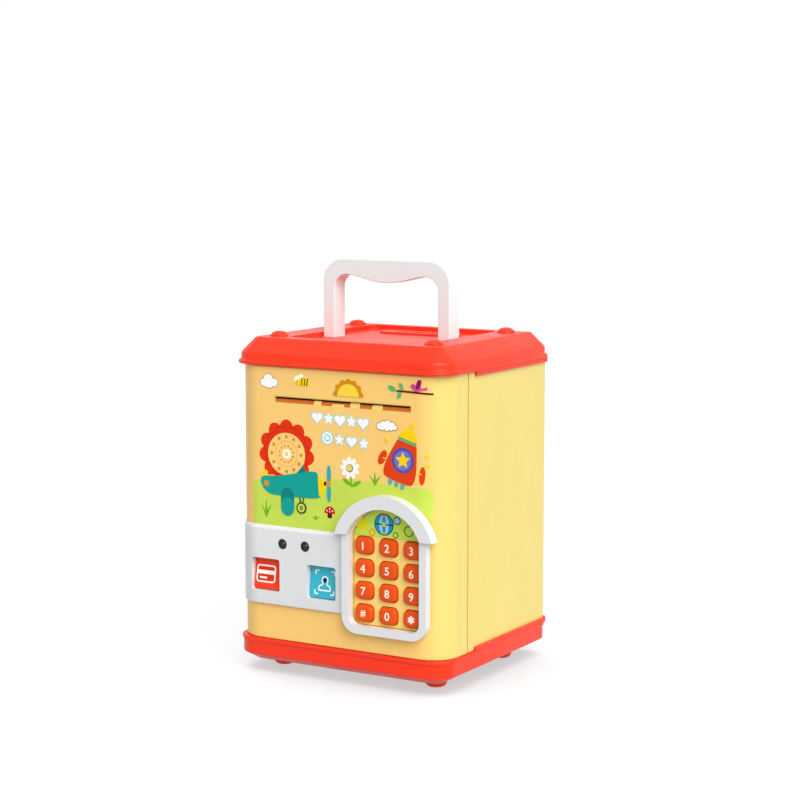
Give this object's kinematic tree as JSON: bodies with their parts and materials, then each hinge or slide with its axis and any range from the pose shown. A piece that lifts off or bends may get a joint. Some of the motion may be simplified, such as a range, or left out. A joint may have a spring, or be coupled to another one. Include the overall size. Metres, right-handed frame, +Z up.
{
  "type": "toy atm savings bank",
  "caption": "Toy cash machine money box: hinged front door with number keypad, banknote feed slot, sensor panel, coin slot in the lid and a sliding carry handle.",
  "frame": {"origin": "on the floor under the centre of the toy, between its feet", "axes": "+Z up, the front door faces -Y, +X to the right as seen from the front"},
  "size_m": [0.1398, 0.1308, 0.2313],
  "materials": {
    "yellow_plastic": "moulded ABS, smooth satin gloss",
    "red_plastic": "moulded ABS, smooth gloss",
    "pale_grey_plastic": "moulded ABS, satin",
    "handle_plastic": "milky polypropylene, satin",
    "printed_label": "printed vinyl sheet",
    "arch_print": "printed vinyl sheet",
    "orange_key": "moulded ABS with a white printed numeral",
    "red_key": "moulded ABS",
    "blue_key": "moulded ABS",
    "black_lens": "smooth polished lens",
    "black_plastic": "fine texture",
    "zinc_steel": "zinc plated",
    "battery_sleeve": "printed foil sleeve",
    "circuit_board": "solder mask",
    "roller_rubber": "soft matte",
    "gear_nylon": "natural nylon"
  },
  "bodies": {
    "case": {"body_shell": "yellow_plastic", "front_frame": "yellow_plastic", "lid": "red_plastic", "base_tray": "red_plastic", "lid_cap_1": "red_plastic", "lid_cap_2": "red_plastic", "lid_cap_3": "red_plastic", "lid_cap_4": "red_plastic", "foot_1": "red_plastic", "foot_2": "red_plastic", "foot_3": "red_plastic", "foot_4": "red_plastic", "handle_guide_left": "pale_grey_plastic", "handle_guide_right": "pale_grey_plastic", "battery_box": "black_plastic", "battery_cover": "yellow_plastic", "battery_cover_screw": "zinc_steel", "battery_1": "battery_sleeve", "battery_2": "battery_sleeve", "battery_3": "battery_sleeve", "hinge_pin_bottom": "zinc_steel", "hinge_pin_top": "zinc_steel", "strike_plate": "zinc_steel"},
    "handle": {"handle": "handle_plastic"},
    "door": {"door_shell": "yellow_plastic", "door_liner": "yellow_plastic", "front_label": "printed_label", "sensor_panel": "pale_grey_plastic", "sensor_lens_1": "black_lens", "sensor_lens_2": "black_lens", "keypad_bezel": "pale_grey_plastic", "keypad_plate": "printed_label", "arch_label": "arch_print", "keypad_board": "circuit_board", "speaker": "black_plastic", "feed_housing": "yellow_plastic", "feed_motor": "zinc_steel", "latch_housing": "black_plastic"},
    "key_1": {"key_1": "orange_key"},
    "key_2": {"key_2": "orange_key"},
    "key_3": {"key_3": "orange_key"},
    "key_4": {"key_4": "orange_key"},
    "key_5": {"key_5": "orange_key"},
    "key_6": {"key_6": "orange_key"},
    "key_7": {"key_7": "orange_key"},
    "key_8": {"key_8": "orange_key"},
    "key_9": {"key_9": "orange_key"},
    "key_hash": {"key_hash": "orange_key"},
    "key_0": {"key_0": "orange_key"},
    "key_star": {"key_star": "orange_key"},
    "deposit_key": {"deposit_key": "red_key"},
    "face_key": {"face_key": "blue_key"},
    "feed_drive": {"feed_shaft": "zinc_steel", "drive_gear": "gear_nylon", "feed_roller_1": "roller_rubber", "feed_roller_2": "roller_rubber", "feed_roller_3": "roller_rubber"},
    "idler": {"idler_gear": "gear_nylon"},
    "motor_drive": {"motor_pinion": "gear_nylon"},
    "latch": {"latch_bolt": "zinc_steel"}
  },
  "joints": [
    {"name": "door_hinge", "type": "hinge", "parent": "case", "child": "door", "pos_m": [-0.0624, -0.0373, 0.0964], "axis": [0, 0, 1], "range_deg": [-90, 0]},
    {"name": "handle_slide", "type": "slide", "parent": "case", "child": "handle", "axis": [0, 0, 1], "range_m": [-0.03, 0]},
    {"name": "key_1_press", "type": "slide", "parent": "door", "child": "key_1", "axis": [0, 1, 0], "range_m": [0, 0.0012], "stiffness_N_per_m": 400},
    {"name": "key_2_press", "type": "slide", "parent": "door", "child": "key_2", "axis": [0, 1, 0], "range_m": [0, 0.0012], "stiffness_N_per_m": 400},
    {"name": "key_3_press", "type": "slide", "parent": "door", "child": "key_3", "axis": [0, 1, 0], "range_m": [0, 0.0012], "stiffness_N_per_m": 400},
    {"name": "key_4_press", "type": "slide", "parent": "door", "child": "key_4", "axis": [0, 1, 0], "range_m": [0, 0.0012], "stiffness_N_per_m": 400},
    {"name": "key_5_press", "type": "slide", "parent": "door", "child": "key_5", "axis": [0, 1, 0], "range_m": [0, 0.0012], "stiffness_N_per_m": 400},
    {"name": "key_6_press", "type": "slide", "parent": "door", "child": "key_6", "axis": [0, 1, 0], "range_m": [0, 0.0012], "stiffness_N_per_m": 400},
    {"name": "key_7_press", "type": "slide", "parent": "door", "child": "key_7", "axis": [0, 1, 0], "range_m": [0, 0.0012], "stiffness_N_per_m": 400},
    {"name": "key_8_press", "type": "slide", "parent": "door", "child": "key_8", "axis": [0, 1, 0], "range_m": [0, 0.0012], "stiffness_N_per_m": 400},
    {"name": "key_9_press", "type": "slide", "parent": "door", "child": "key_9", "axis": [0, 1, 0], "range_m": [0, 0.0012], "stiffness_N_per_m": 400},
    {"name": "key_hash_press", "type": "slide", "parent": "door", "child": "key_hash", "axis": [0, 1, 0], "range_m": [0, 0.0012], "stiffness_N_per_m": 400},
    {"name": "key_0_press", "type": "slide", "parent": "door", "child": "key_0", "axis": [0, 1, 0], "range_m": [0, 0.0012], "stiffness_N_per_m": 400},
    {"name": "key_star_press", "type": "slide", "parent": "door", "child": "key_star", "axis": [0, 1, 0], "range_m": [0, 0.0012], "stiffness_N_per_m": 400},
    {"name": "deposit_key_press", "type": "slide", "parent": "door", "child": "deposit_key", "axis": [0, 1, 0], "range_m": [0, 0.0012], "stiffness_N_per_m": 400},
    {"name": "face_key_press", "type": "slide", "parent": "door", "child": "face_key", "axis": [0, 1, 0], "range_m": [0, 0.0012], "stiffness_N_per_m": 400},
    {"name": "feed_spin", "type": "hinge", "parent": "door", "child": "feed_drive", "pos_m": [0, -0.045, 0.1623], "axis": [1, 0, 0], "continuous": true},
    {"name": "idler_spin", "type": "hinge", "parent": "door", "child": "idler", "pos_m": [0.057, -0.045, 0.1483], "axis": [1, 0, 0], "continuous": true},
    {"name": "motor_spin", "type": "hinge", "parent": "door", "child": "motor_drive", "pos_m": [0.057, -0.045, 0.1385], "axis": [1, 0, 0], "continuous": true},
    {"name": "latch_slide", "type": "slide", "parent": "door", "child": "latch", "axis": [1, 0, 0], "range_m": [0, 0.004]}
  ],
  "couplings": [
    {"joint": "idler_spin", "follows": "feed_spin", "ratio": -1},
    {"joint": "motor_spin", "follows": "feed_spin", "ratio": 2.5}
  ]
}
